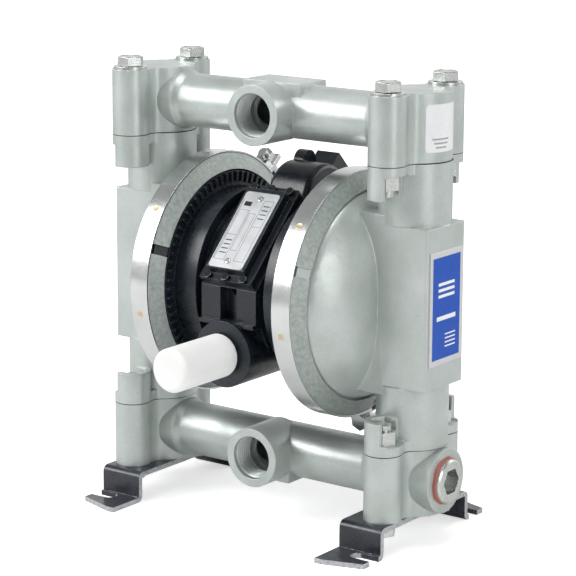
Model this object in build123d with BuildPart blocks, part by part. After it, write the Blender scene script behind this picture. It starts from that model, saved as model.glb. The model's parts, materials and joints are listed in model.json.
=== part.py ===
"""Air operated double diaphragm pump, built as separate pieces in millimetres.

X runs along the diaphragm shaft, from the left end (-X) to the right end (+X).
-Y is the front, where the fluid ports, the valve cover and the muffler are.
+Z is up, and the origin is on the floor, under the middle of the pump.
Heights named *_z in the first block are measured from the shaft axis.
"""

import os

from build123d import *

os.makedirs("parts", exist_ok=True)

# ---------------------------------------------------------------- driving sizes
rim_radius = 70.0           # clamped rims of the fluid and air covers
rim_to_joint = 14.25
joint_to_tube = 19.75
joint_to_end = 40.0
foot_height = 18.75         # floor to the lower manifold
joint_z = rim_radius + rim_to_joint         # flange joint between a fluid cover and a manifold
tube_z = joint_z + joint_to_tube            # centre of the manifold tubes
manifold_z = joint_z + joint_to_end         # outer face of the manifold ends
shaft_height = manifold_z + foot_height     # shaft axis above the floor

bolt_x = 94.0               # flange bolts and ball columns, from the middle
bolt_y = 30.0               # flange bolts, either side of the column
bolt_radius = 4.76          # 3/8 inch bolts
bolt_hole_radius = 5.2
hex_flats = 14.3            # across the flats of the 3/8 inch heads and nuts
head_height = 6.0
nut_height = 8.3
bolt_length = 60.0
washer_radius = 10.2
washer_thickness = 1.6

column_radius = 21.4
flange_radius = 20.75
boss_radius = 11.2
flange_thickness = 6.2
flange_fillet = 8.0
boss_height = 19.5
nut_gap = 0.2               # around a nut in its slot
pocket_floor = 5.35
pocket_flat = 3.9           # outer flat of a boss, from the bolt axis

tube_radius = 16.4
tube_bore = 11.5
port_boss_radius = 18.15
port_face_y = 32.0
port_bore = 13.2            # 3/4 inch pipe thread
port_depth = 20.0
end_port_radius = 19.3
end_port_face_x = 118.0
pad_half_length = 21.0
pad_half_width = 13.0
pad_drop = 1.95             # pads below the manifold ends
low_pad_half_length = 14.0

block_face_x = 115.6        # flat outer face of the fluid covers
block_half_width = 18.2
block_half_height = 47.5
web_half_width = 20.0       # solid web between the dome and the column
web_half_height = 53.0
label_half_width = 17.3
label_half_height = 33.3
label_thickness = 0.6

clamp_x = 52.0              # middle plane of each clamp and diaphragm
rim_gap = 3.2               # between the rims and the strap
strap_thickness = 1.0
strap_half_width = 6.3
strap_lip = 0.5             # strap edge beyond the outer corner of the vee
vee_depth = 9.8             # from the inside of the strap to the foot of the vee
vee_thickness = 1.5
vee_spread = 10.9           # half width of the vee at its foot
bead_thickness = 3.0
flank_clearance = 0.35

drum_radius = 54.0          # waist of the air covers
drum_x = 41.2               # ribbed back face of the air covers
groove_radius = 47.0
groove_x = 25.0
housing_radius = 52.0
housing_x = 20.0
gasket_thickness = 1.0

shaft_radius = 8.0
running_gap = 0.05
loose_gap = 0.3
cut_margin = 1.0            # how far a cutting shape runs past a face
near = 0.1                  # how close an edge lies to the size it is picked by
plate_radius = 28.0
plate_thickness = 5.0
stroke = 7.0                # shaft travel each way

ball_radius = 9.5
ball_lift = 5.0
ball_rise = 5.8             # ball centre above the top of its seat
ball_cage_radius = 12.3
ball_stop_radius = 8.0
ball_gap = 0.05
seat_radius = 15.9
seat_pocket_radius = 16.0
seat_thickness = 6.0
seat_hole = 7.2
ring_radius = 14.4          # seat O-ring, to the middle of its section
ring_section = 1.2
ring_groove_width = 2.8
ring_groove_depth = 2.4

foot_inner_x = 75.5
foot_outer_x = 104.5
foot_thickness = 3.0
foot_bend = 1.0             # inside radius of the bends
foot_wall_y = 47.0
foot_tip_y = 72.0
foot_corner_y = 64.5
foot_corner_x = 80.0
foot_slot_y = 53.7
foot_slot_radius = 4.7
foot_slot_x = 93.7

# nameplate face, leaning back halfway between the front and the top
chest_half_width = 20.0
chest_half_length = 35.0
chest_face = 42.0
cover_half_width = 19.0
cover_flange_thickness = 5.0
raised_half_width = 14.5
raised_half_length = 29.5
raised_thickness = 5.5
nameplate_half_width = 12.3
nameplate_half_length = 27.3
nameplate_thickness = 0.4
nameplate_corner = 2.0

muffler_radius = 13.0
muffler_z = -34.0
muffler_near_y = 110.0
muffler_stand_off = 1.0     # between the boss and the muffler's body
exhaust_boss_radius = 20.0
exhaust_boss_y = 60.0
exhaust_bore = 10.1
exhaust_depth = 20.0

# ---------------------------------------------------------------- shared planes
axis_point = (0, 0, shaft_height)
shaft_line = Axis(axis_point, (1, 0, 0))
side_plane = Plane(origin=axis_point, x_dir=(1, 0, 0), z_dir=(0, -1, 0))
chest_plane = Plane(origin=axis_point, x_dir=(1, 0, 0), z_dir=(0, -1, 1))
inlet_plane = Plane(origin=axis_point, x_dir=(1, 0, 0), z_dir=(0, 1, 1))


def level(height):
    """Horizontal plane at a height above or below the shaft axis."""
    return Plane.XY.offset(shaft_height + height)


def across(distance):
    """Upright plane square to the shaft, local x to the back and local y up."""
    return Plane(origin=(distance, 0, shaft_height), x_dir=(0, 1, 0), z_dir=(1, 0, 0))


def front(distance):
    """Upright plane facing the front, local x to the right and local y up."""
    return Plane(origin=(0, -distance, shaft_height), x_dir=(1, 0, 0), z_dir=(0, -1, 0))


def save(piece, name):
    """Label one finished piece and write it."""
    piece.part.label = name
    export_step(piece.part, f"parts/{name}.step")


def save_pair(piece, name):
    """Write a right-hand piece, and its mirror image for the left-hand side."""
    with BuildPart() as left_piece:
        mirror(piece.part, about=Plane.YZ)
    save(left_piece, f"{name}_left")
    save(piece, f"{name}_right")


# ---------------------------------------------------------------- fluid covers
strap_inner = rim_radius + rim_gap
strap_radius = strap_inner + strap_thickness
vee_foot_radius = strap_inner - vee_depth
vee_crown = strap_half_width - strap_lip    # half width of the vee where it meets the strap
flank_slope = (vee_spread - vee_crown) / (strap_inner - vee_foot_radius)
vee_wall = vee_thickness * (1 + flank_slope**2) ** 0.5      # measured along the shaft


def flank_offset(radius):
    """Half width of the clamped rims at a radius, inside the clamp's vee."""
    outer = vee_crown + (strap_inner - radius) * flank_slope
    return outer - vee_wall - flank_clearance


rim_foot_drop = 1.1
rim_face_width = 12.0       # flat clamped face of a rim
shoulder_drop = 0.9
shoulder_x = clamp_x + 11.5
dome_middle_x = clamp_x + 23.5
dome_middle_drop = 24.5
dome_top_x = clamp_x + 30.0
dome_top_radius = 22.0
mouth_edge = 1.4
mouth_edge_x = clamp_x + 6.5
chamber_wall = 3.0
chamber_middle_x = clamp_x + 17.0
chamber_top_x = clamp_x + 21.0
chamber_top_radius = 26.0
link_radius = 8.0

bead_half = bead_thickness / 2
rim_foot_radius = vee_foot_radius - rim_foot_drop
chamber_mouth = rim_radius - rim_face_width
dome_shoulder = (shoulder_x, rim_foot_radius - shoulder_drop)
dome_middle = (dome_middle_x, rim_radius - dome_middle_drop)
dome_top = (dome_top_x, dome_top_radius)
chamber_shoulder = (mouth_edge_x, chamber_mouth - mouth_edge)
chamber_middle = (chamber_middle_x, dome_middle[1] - chamber_wall)
chamber_top = (chamber_top_x, chamber_top_radius)


def flange_outline(radius=flange_radius):
    """Outline of a column and its two bolt bosses, joined by round fillets."""
    with BuildSketch(mode=Mode.PRIVATE) as outline:
        with Locations((bolt_x, 0)):
            Circle(radius)
        with Locations((bolt_x, bolt_y), (bolt_x, -bolt_y)):
            Circle(boss_radius)
        fillet(outline.vertices(), flange_fillet)
    return outline.sketch


def boss_and_pocket(end):
    """Bolt bosses at one end of a cover (+1 top, -1 bottom), each with a nut slot."""
    inner_z = joint_z - boss_height
    pocket_z = joint_z - pocket_floor
    direction = -end
    with BuildSketch(level(end * joint_z)) as outline:
        with Locations((bolt_x, bolt_y), (bolt_x, -bolt_y)):
            Circle(boss_radius)
    extrude(outline.sketch, amount=boss_height, dir=(0, 0, direction))
    for bolt_side in (-bolt_y, bolt_y):
        with BuildSketch(level(end * pocket_z)) as slot:
            with Locations((bolt_x, bolt_side)):
                RegularPolygon(hex_flats / 2 + nut_gap, 6, major_radius=False)
            with Locations((bolt_x + boss_radius / 2, bolt_side)):
                Rectangle(boss_radius, hex_flats + 2 * nut_gap)
        extrude(slot.sketch, amount=pocket_z - inner_z, dir=(0, 0, direction), mode=Mode.SUBTRACT)
        with BuildSketch(level(end * (joint_z - flange_thickness))) as flat:
            with Locations((bolt_x + pocket_flat + boss_radius / 2, bolt_side)):
                Rectangle(boss_radius, 2 * boss_radius + cut_margin)
            with Locations((bolt_x, 0)):
                Circle(column_radius, mode=Mode.SUBTRACT)
        extrude(flat.sketch, amount=boss_height, dir=(0, 0, direction), mode=Mode.SUBTRACT)
        with BuildSketch(level(end * joint_z)) as hole:
            with Locations((bolt_x, bolt_side)):
                Circle(bolt_hole_radius)
        extrude(hole.sketch, amount=boss_height, dir=(0, 0, direction), mode=Mode.SUBTRACT)


inlet_ball_z = -joint_z + seat_thickness + ball_rise
outlet_ball_z = joint_z + ball_rise
stop_drop = (ball_radius**2 - ball_stop_radius**2) ** 0.5
inlet_stop_z = inlet_ball_z + ball_lift + stop_drop + loose_gap
bypass_radius = 2.5
bypass_height = 10.0

with BuildPart() as fluid_cover:
    with BuildSketch(side_plane):
        with BuildLine():
            Polyline(
                (clamp_x + bead_half, 0),
                (clamp_x + bead_half, rim_radius),
                (clamp_x + flank_offset(rim_radius), rim_radius),
                (clamp_x + flank_offset(rim_foot_radius), rim_foot_radius),
                dome_shoulder,
            )
            ThreePointArc(dome_shoulder, dome_middle, dome_top)
            Polyline(dome_top, (dome_top_x, 0), (clamp_x + bead_half, 0))
        make_face()
    revolve(axis=shaft_line)
    with BuildSketch(level(-joint_z)):
        with Locations((bolt_x, 0)):
            Circle(column_radius)
    extrude(amount=2 * joint_z)
    for end in (1, -1):
        with BuildSketch(level(end * joint_z)):
            add(flange_outline())
        extrude(amount=flange_thickness, dir=(0, 0, -end))
    with BuildSketch(level(-block_half_height)):
        with Locations(((bolt_x + block_face_x) / 2, 0)):
            Rectangle(block_face_x - bolt_x, 2 * block_half_width)
    extrude(amount=2 * block_half_height)
    with BuildSketch(level(-web_half_height)):
        with Locations(((shoulder_x + bolt_x) / 2, 0)):
            Rectangle(bolt_x - shoulder_x, 2 * web_half_width)
    extrude(amount=2 * web_half_height)
    for end in (1, -1):
        boss_and_pocket(end)
    # diaphragm chamber
    with BuildSketch(side_plane):
        with BuildLine():
            Polyline(
                (clamp_x + bead_half, 0),
                (clamp_x + bead_half, chamber_mouth),
                chamber_shoulder,
            )
            ThreePointArc(chamber_shoulder, chamber_middle, chamber_top)
            Polyline(chamber_top, (chamber_top_x, 0), (clamp_x + bead_half, 0))
        make_face()
    revolve(axis=shaft_line, mode=Mode.SUBTRACT)
    # passage from the chamber into the column, and the column's own bore
    with BuildSketch(across(clamp_x + bead_half)):
        Circle(link_radius)
    extrude(amount=bolt_x - clamp_x - bead_half, mode=Mode.SUBTRACT)
    with BuildSketch(level(-joint_z)):
        with Locations((bolt_x, 0)):
            Circle(ball_stop_radius)
    extrude(amount=2 * joint_z, mode=Mode.SUBTRACT)
    # inlet ball cage with four bypass flutes above its stop
    with BuildSketch(level(-joint_z)):
        with Locations((bolt_x, 0)):
            Circle(ball_cage_radius)
    extrude(amount=joint_z + inlet_stop_z, mode=Mode.SUBTRACT)
    with BuildSketch(level(inlet_stop_z)):
        with Locations((bolt_x, 0)):
            with PolarLocations(ball_cage_radius - bypass_radius, 4):
                Circle(bypass_radius)
    extrude(amount=bypass_height, mode=Mode.SUBTRACT)
    # pockets for the two seats
    for end in (1, -1):
        with BuildSketch(level(end * joint_z)):
            with Locations((bolt_x, 0)):
                Circle(seat_pocket_radius)
        extrude(amount=seat_thickness, dir=(0, 0, -end), mode=Mode.SUBTRACT)
save_pair(fluid_cover, "fluid_cover")

with BuildPart() as side_label:
    with BuildSketch(across(block_face_x)):
        Rectangle(2 * label_half_width, 2 * label_half_height)
    extrude(amount=label_thickness)
save(side_label, "side_label")


# ---------------------------------------------------------------- manifolds
outlet_stop_z = outlet_ball_z + ball_lift + ball_radius + loose_gap
tube_bore_end = bolt_x - ball_stop_radius


def manifold_body(end):
    """Tube, two flanged ends and the front port of the top (+1) or bottom (-1) manifold."""
    for side in (1, -1):
        with BuildSketch(level(end * joint_z)) as outline:
            if side > 0:
                add(flange_outline())
            else:
                mirror(flange_outline(), about=Plane.YZ)
        extrude(outline.sketch, amount=manifold_z - joint_z, dir=(0, 0, end))
    with BuildSketch(across(-bolt_x)) as slot:
        with Locations((0, end * tube_z)):
            Circle(tube_radius)
    extrude(slot.sketch, amount=2 * bolt_x)
    with BuildSketch(front(0)) as flat:
        with Locations((0, end * tube_z)):
            Circle(port_boss_radius)
    extrude(flat.sketch, amount=port_face_y)


def manifold_holes(end):
    """Tube bore, front port, bolt holes and the grooves of the seat O-rings."""
    with BuildSketch(across(-tube_bore_end)) as outline:
        with Locations((0, end * tube_z)):
            Circle(tube_bore)
    extrude(outline.sketch, amount=2 * tube_bore_end, mode=Mode.SUBTRACT)
    with BuildSketch(front(port_face_y)) as slot:
        with Locations((0, end * tube_z)):
            Circle(port_bore)
    extrude(slot.sketch, amount=-port_depth, mode=Mode.SUBTRACT)
    with BuildSketch(front(port_face_y)) as flat:
        with Locations((0, end * tube_z)):
            Circle(tube_bore)
    extrude(flat.sketch, amount=-port_face_y, mode=Mode.SUBTRACT)
    with BuildSketch(level(end * joint_z)) as hole:
        with GridLocations(2 * bolt_x, 2 * bolt_y, 2, 2):
            Circle(bolt_hole_radius)
    extrude(hole.sketch, amount=manifold_z - joint_z, dir=(0, 0, end), mode=Mode.SUBTRACT)
    with BuildSketch(level(end * joint_z)) as groove:
        with Locations((bolt_x, 0), (-bolt_x, 0)):
            Circle(ring_radius + ring_groove_width / 2)
            Circle(ring_radius - ring_groove_width / 2, mode=Mode.SUBTRACT)
    extrude(groove.sketch, amount=ring_groove_depth, dir=(0, 0, end), mode=Mode.SUBTRACT)


with BuildPart() as outlet_manifold:
    manifold_body(1)
    with BuildSketch(level(tube_z)):
        Rectangle(2 * pad_half_length, 2 * pad_half_width)
    extrude(amount=manifold_z - pad_drop - tube_z)
    manifold_holes(1)
    # ball cages in the two ends, closed above the balls
    with BuildSketch(level(joint_z)):
        with Locations((bolt_x, 0), (-bolt_x, 0)):
            Circle(ball_cage_radius)
    extrude(amount=outlet_stop_z - joint_z, mode=Mode.SUBTRACT)
save(outlet_manifold, "outlet_manifold")

low_passage_radius = 10.0
plug_length = 17.0
plug_proud = 4.0
plug_gap = 0.1
plug_radius = port_bore - plug_gap
plug_hex_depth = 9.0
plug_edge = 1.0

with BuildPart() as inlet_manifold:
    manifold_body(-1)
    with BuildSketch(level(-tube_z)):
        Rectangle(2 * low_pad_half_length, 2 * pad_half_width)
    extrude(amount=tube_z - manifold_z + pad_drop)
    with BuildSketch(across(bolt_x)):
        with Locations((0, -tube_z)):
            Circle(end_port_radius)
    extrude(amount=end_port_face_x - bolt_x)
    manifold_holes(-1)
    with BuildSketch(across(0)):
        with Locations((0, -tube_z)):
            Circle(tube_bore)
    extrude(amount=end_port_face_x, mode=Mode.SUBTRACT)
    with BuildSketch(across(end_port_face_x)):
        with Locations((0, -tube_z)):
            Circle(port_bore)
    extrude(amount=-port_depth, mode=Mode.SUBTRACT)
    with BuildSketch(level(-joint_z)):
        with Locations((bolt_x, 0), (-bolt_x, 0)):
            Circle(low_passage_radius)
    extrude(amount=joint_z - tube_z, mode=Mode.SUBTRACT)
save(inlet_manifold, "inlet_manifold")

with BuildPart() as inlet_end_plug:
    with BuildSketch(across(end_port_face_x + plug_proud)):
        with Locations((0, -tube_z)):
            Circle(plug_radius)
    extrude(amount=-plug_length)
    with BuildSketch(across(end_port_face_x + plug_proud)):
        with Locations((0, -tube_z)):
            RegularPolygon(hex_flats / 2, 6, major_radius=False)
    extrude(amount=-plug_hex_depth, mode=Mode.SUBTRACT)
    plug_face = inlet_end_plug.faces().sort_by(Axis.X)[-1]
    chamfer(plug_face.outer_wire().edges(), plug_edge)
save(inlet_end_plug, "inlet_end_plug")

# ---------------------------------------------------------------- seats, rings and check balls


def seat_pair(bottom_z):
    """Two ring seats, hollowed to the balls that rest on them."""
    with BuildPart() as seats:
        with BuildSketch(level(bottom_z)):
            with Locations((bolt_x, 0), (-bolt_x, 0)):
                Circle(seat_radius)
                Circle(seat_hole, mode=Mode.SUBTRACT)
        extrude(amount=seat_thickness)
        with Locations(level(bottom_z + seat_thickness + ball_rise)):
            with Locations((bolt_x, 0, 0), (-bolt_x, 0, 0)):
                Sphere(ball_radius + ball_gap, mode=Mode.SUBTRACT)
    return seats


save(seat_pair(-joint_z), "inlet_seats")
save(seat_pair(joint_z - seat_thickness), "outlet_seats")

with BuildPart() as seat_rings:
    for ring_z in (joint_z + ring_section, -joint_z - ring_section):
        for side in (bolt_x, -bolt_x):
            with Locations((side, 0, shaft_height + ring_z)):
                Torus(ring_radius, ring_section)
save(seat_rings, "seat_rings")

for ball_name, ball_z in (("inlet_ball", inlet_ball_z), ("outlet_ball", outlet_ball_z)):
    with BuildPart() as check_ball:
        with Locations((bolt_x, 0, shaft_height + ball_z)):
            Sphere(ball_radius)
    save_pair(check_ball, ball_name)

# ---------------------------------------------------------------- flange bolts, washers and nuts
hex_circle = hex_flats / 2

with BuildPart() as top_bolts:
    with BuildSketch(level(manifold_z + washer_thickness)):
        with GridLocations(2 * bolt_x, 2 * bolt_y, 2, 2):
            RegularPolygon(hex_circle, 6, major_radius=False)
    extrude(amount=head_height)
    with BuildSketch(level(manifold_z + washer_thickness)):
        with GridLocations(2 * bolt_x, 2 * bolt_y, 2, 2):
            Circle(bolt_radius)
    extrude(amount=-bolt_length)
save(top_bolts, "top_bolts")

with BuildPart() as top_washers:
    with BuildSketch(level(manifold_z)):
        with GridLocations(2 * bolt_x, 2 * bolt_y, 2, 2):
            Circle(washer_radius)
            Circle(bolt_hole_radius, mode=Mode.SUBTRACT)
    extrude(amount=washer_thickness)
save(top_washers, "top_washers")

with BuildPart() as bottom_bolts:
    with BuildSketch(level(-manifold_z - foot_thickness)):
        with GridLocations(2 * bolt_x, 2 * bolt_y, 2, 2):
            RegularPolygon(hex_circle, 6, major_radius=False)
    extrude(amount=-head_height)
    with BuildSketch(level(-manifold_z - foot_thickness)):
        with GridLocations(2 * bolt_x, 2 * bolt_y, 2, 2):
            Circle(bolt_radius)
    extrude(amount=bolt_length)
save(bottom_bolts, "bottom_bolts")

nut_seat_z = joint_z - pocket_floor
with BuildPart() as flange_nuts:
    for end in (1, -1):
        with BuildSketch(level(end * nut_seat_z)):
            with GridLocations(2 * bolt_x, 2 * bolt_y, 2, 2):
                RegularPolygon(hex_circle, 6, major_radius=False)
                Circle(bolt_radius + loose_gap / 2, mode=Mode.SUBTRACT)
        extrude(amount=nut_height, dir=(0, 0, -end))
save(flange_nuts, "flange_nuts")

# ---------------------------------------------------------------- feet
foot_top = -manifold_z
foot_floor = -shaft_height
tab_top = foot_floor + foot_thickness
wall_inner_y = foot_wall_y - foot_thickness

with BuildPart() as foot:
    with BuildSketch(across(foot_inner_x)):
        with BuildLine() as foot_section:
            Polyline(
                (0, foot_top),
                (-foot_wall_y, foot_top),
                (-foot_wall_y, tab_top),
                (-foot_tip_y, tab_top),
                (-foot_tip_y, foot_floor),
                (-wall_inner_y, foot_floor),
                (-wall_inner_y, foot_top - foot_thickness),
                (0, foot_top - foot_thickness),
            )
            mirror(foot_section.line, about=Plane.YZ)
        make_face()
    extrude(amount=foot_outer_x - foot_inner_x)
    bends = foot.edges().filter_by(Axis.X)
    outer_bends = bends.filter_by(
        lambda e: abs(abs(e.center().Y) - foot_wall_y) < near and e.center().Z > foot_height - near
    )
    heel_bends = bends.filter_by(
        lambda e: abs(abs(e.center().Y) - wall_inner_y) < near and e.center().Z < near
    )
    fillet(outer_bends + heel_bends, foot_thickness + foot_bend)
    # slots that open to the outer side, and a slanting outer edge on each tab
    for front_sign in (1, -1):
        with BuildSketch(level(foot_floor)):
            with Locations((foot_slot_x, front_sign * foot_slot_y)):
                Circle(foot_slot_radius)
            with Locations(((foot_slot_x + foot_outer_x) / 2, front_sign * foot_slot_y)):
                Rectangle(foot_outer_x - foot_slot_x, 2 * foot_slot_radius)
            with BuildLine():
                Polyline(
                    (foot_corner_x, front_sign * foot_tip_y),
                    (foot_outer_x, front_sign * foot_corner_y),
                    (foot_outer_x, front_sign * foot_tip_y),
                    close=True,
                )
            make_face()
        extrude(amount=foot_thickness, mode=Mode.SUBTRACT)
    with BuildSketch(level(foot_top)):
        with Locations((bolt_x, bolt_y), (bolt_x, -bolt_y)):
            Circle(bolt_hole_radius)
    extrude(amount=-foot_thickness, mode=Mode.SUBTRACT)
save_pair(foot, "foot")

# ---------------------------------------------------------------- clamps
clamp_bolt_radius = 3.0
clamp_bolt_hole = 3.3
clamp_lug_thickness = 3.0
clamp_lug_height = 14.0
clamp_gap = 14.0            # between the two lugs
clamp_bolt_rise = 6.5       # above the strap
clamp_bolt_line = strap_radius + clamp_bolt_rise
clamp_lug_root = 1.0        # of a lug within the strap's thickness and below
clamp_hex_flats = 10.0
clamp_head_height = 4.0
clamp_nut_height = 5.0
clamp_bolt_end = 3.0        # thread left proud of the nut
vee_gap_width = 6.0
vee_gap_angles = (20.0, 138.0, 256.0)   # in degrees up from the front
clamp_sides = {"left": (-clamp_x, vee_gap_angles[1]), "right": (clamp_x, vee_gap_angles[2])}


def radial(distance, angle):
    """Plane across the shaft with local x pointing outwards at an angle up from the front."""
    outward = Vector(0, -1, 0).rotate(Axis.X, -angle)
    return Plane(origin=(distance, 0, shaft_height), x_dir=outward, z_dir=(1, 0, 0))


def tangent(distance, angle):
    """Plane through the shaft line at the same angle, facing around the shaft."""
    outward = Vector(0, -1, 0).rotate(Axis.X, -angle)
    return Plane(origin=(distance, 0, shaft_height), x_dir=outward, z_dir=outward.cross(Vector(1, 0, 0)))


def clamp_section(middle_x):
    """Radial section of a clamp: a flat strap with a vee inside it."""
    with BuildSketch(side_plane, mode=Mode.PRIVATE) as section:
        with BuildLine():
            Polyline(
                (middle_x - strap_half_width, strap_radius),
                (middle_x + strap_half_width, strap_radius),
                (middle_x + strap_half_width, strap_inner),
                (middle_x + vee_crown, strap_inner),
                (middle_x + vee_spread, vee_foot_radius),
                (middle_x + vee_spread - vee_wall, vee_foot_radius),
                (middle_x + vee_crown - vee_wall, strap_inner),
                (middle_x - vee_crown + vee_wall, strap_inner),
                (middle_x - vee_spread + vee_wall, vee_foot_radius),
                (middle_x - vee_spread, vee_foot_radius),
                (middle_x - vee_crown, strap_inner),
                (middle_x - strap_half_width, strap_inner),
                close=True,
            )
        make_face()
    return section.sketch


for side, (middle_x, opening) in clamp_sides.items():
    clamp_edge = middle_x - vee_spread - cut_margin
    strap_edge = middle_x - strap_half_width
    lug_middle = clamp_gap / 2 + clamp_lug_thickness / 2
    with BuildPart() as clamp:
        add(clamp_section(middle_x))
        revolve(axis=shaft_line)
        for turn in vee_gap_angles:
            with BuildSketch(radial(clamp_edge, turn)):
                with Locations(((vee_foot_radius - cut_margin + strap_inner) / 2, 0)):
                    Rectangle(vee_depth + cut_margin, vee_gap_width)
            extrude(amount=2 * (vee_spread + cut_margin), mode=Mode.SUBTRACT)
        with BuildSketch(radial(clamp_edge, opening)):
            with Locations((strap_radius, 0)):
                Rectangle(2 * (vee_depth + clamp_lug_height), clamp_gap)
        extrude(amount=2 * (vee_spread + cut_margin), mode=Mode.SUBTRACT)
        with BuildSketch(radial(strap_edge, opening)):
            with Locations((strap_inner + clamp_lug_height / 2 - clamp_lug_root, lug_middle)):
                Rectangle(clamp_lug_height, clamp_lug_thickness)
            with Locations((strap_inner + clamp_lug_height / 2 - clamp_lug_root, -lug_middle)):
                Rectangle(clamp_lug_height, clamp_lug_thickness)
        extrude(amount=2 * strap_half_width)
        with BuildSketch(tangent(middle_x, opening)):
            with Locations((clamp_bolt_line, 0)):
                Circle(clamp_bolt_hole)
        extrude(amount=clamp_gap, both=True, mode=Mode.SUBTRACT)
    save(clamp, f"clamp_{side}")

lug_outside = clamp_gap / 2 + clamp_lug_thickness
with BuildPart() as clamp_bolts:
    for middle_x, opening in clamp_sides.values():
        with BuildSketch(tangent(middle_x, opening).offset(lug_outside)):
            with Locations((clamp_bolt_line, 0)):
                RegularPolygon(clamp_hex_flats / 2, 6, major_radius=False)
        extrude(amount=clamp_head_height)
        with BuildSketch(tangent(middle_x, opening).offset(lug_outside)):
            with Locations((clamp_bolt_line, 0)):
                Circle(clamp_bolt_radius)
        extrude(amount=-2 * lug_outside - clamp_nut_height - clamp_bolt_end)
save(clamp_bolts, "clamp_bolts")

with BuildPart() as clamp_nuts:
    for middle_x, opening in clamp_sides.values():
        with BuildSketch(tangent(middle_x, opening).offset(-lug_outside)):
            with Locations((clamp_bolt_line, 0)):
                RegularPolygon(clamp_hex_flats / 2, 6, major_radius=False)
                Circle(clamp_bolt_radius + running_gap, mode=Mode.SUBTRACT)
        extrude(amount=-clamp_nut_height)
save(clamp_nuts, "clamp_nuts")

# ---------------------------------------------------------------- what the shaft carries
hub_x = clamp_x - bead_half             # inner face of the diaphragm's hub
air_chamber_x = 37.0                    # flat inner wall of an air cover
air_chamber_radius = 34.0
plate_edge = 1.5
plate_bolt_radius = 5.0
plate_bolt_head = 17.0
plate_bolt_head_height = 5.0
plate_bolt_reach = 15.0
plate_bolt_end = 1.0        # room past the end of the bolt
web_half = 1.0
web_rise = 2.5
bead_width = 11.0
rim_inset = 1.0             # diaphragm inside the rims

with BuildPart() as diaphragm_shaft:
    with BuildSketch(across(-hub_x + plate_thickness)):
        Circle(shaft_radius)
    extrude(amount=2 * (hub_x - plate_thickness))
    for end in (1, -1):
        with BuildSketch(across(end * (hub_x - plate_thickness))):
            Circle(plate_bolt_radius + running_gap)
        extrude(amount=plate_bolt_reach, dir=(-end, 0, 0), mode=Mode.SUBTRACT)
save(diaphragm_shaft, "diaphragm_shaft")


def disc(inner_x, thickness, radius, hole, rounded_face):
    """Round plate on the shaft line with its outer rim eased on one face."""
    with BuildPart() as plate:
        with BuildSketch(across(inner_x)):
            Circle(radius)
            Circle(hole, mode=Mode.SUBTRACT)
        extrude(amount=thickness)
        rim = plate.faces().sort_by(Axis.X)[rounded_face].outer_wire().edges()
        fillet(rim, plate_edge)
    return plate


plate_hole = plate_bolt_radius + running_gap
save_pair(disc(hub_x - plate_thickness, plate_thickness, plate_radius, plate_hole, -1), "air_side_plate")
fluid_plate_x = clamp_x + bead_half
save_pair(disc(fluid_plate_x, plate_thickness, plate_radius, plate_hole, -1), "fluid_side_plate")

with BuildPart() as diaphragm_bolts:
    for end in (1, -1):
        with BuildSketch(across(end * (fluid_plate_x + plate_thickness))):
            RegularPolygon(plate_bolt_head / 2, 6, major_radius=False)
        extrude(amount=plate_bolt_head_height, dir=(end, 0, 0))
        with BuildSketch(across(end * (fluid_plate_x + plate_thickness))):
            Circle(plate_bolt_radius)
        extrude(amount=2 * plate_thickness + bead_thickness + plate_bolt_reach - plate_bolt_end, dir=(-end, 0, 0))
save(diaphragm_bolts, "diaphragm_bolts")

with BuildPart() as diaphragm:
    with BuildSketch(side_plane):
        with BuildLine():
            bead_inner = rim_radius - bead_width
            hub_radius = plate_radius
            crest = (bead_inner + hub_radius) / 2
            Polyline(
                (clamp_x - web_half, hub_radius),
                (clamp_x - bead_half, hub_radius),
                (clamp_x - bead_half, plate_hole),
                (clamp_x + bead_half, plate_hole),
                (clamp_x + bead_half, hub_radius),
                (clamp_x + web_half, hub_radius),
            )
            ThreePointArc(
                (clamp_x + web_half, hub_radius),
                (clamp_x + web_half + web_rise, crest),
                (clamp_x + web_half, bead_inner),
            )
            Polyline(
                (clamp_x + web_half, bead_inner),
                (clamp_x + bead_half, bead_inner),
                (clamp_x + bead_half, rim_radius - rim_inset),
                (clamp_x - bead_half, rim_radius - rim_inset),
                (clamp_x - bead_half, bead_inner),
                (clamp_x - web_half, bead_inner),
            )
            ThreePointArc(
                (clamp_x - web_half, bead_inner),
                (clamp_x - web_half + web_rise, crest),
                (clamp_x - web_half, hub_radius),
            )
        make_face()
    revolve(axis=shaft_line)
save_pair(diaphragm, "diaphragm")

# ---------------------------------------------------------------- air covers and what they hold
rib_count = 72
rib_width = 1.6
rib_height = 2.2
rib_length = 6.0
rib_inset = 0.3
rib_middle = rim_foot_radius - rib_inset - rib_length / 2
air_slope_drop = 1.0
air_slope_x = 47.5
hub_face_x = housing_x + gasket_thickness
bearing_radius = 10.5
bearing_x = (24.0, 34.0)
seal_radius = 11.0
seal_lip = shaft_radius + running_gap
screw_circle = 30.0
screw_angles = (45, 105, 165, 225, 285, 345)
screw_radius = 2.0
screw_hole = 2.15
screw_head_radius = 3.4
screw_head_height = 3.5
screw_end_x = 14.0
screw_seat_x = 33.2
piston_offset = 30.0
piston_radius = 5.0
piston_bore = piston_radius + running_gap
piston_pocket = 6.0
pilot_y = 17.0
pilot_z = -12.0
pin_radius = 2.5
pin_bore = pin_radius + running_gap
piston_y = -piston_offset / 2**0.5
piston_z = piston_offset / 2**0.5
gasket_hole = 11.5
gasket_inset = 0.5          # gasket inside the cover's edge and clear of its holes

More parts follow.
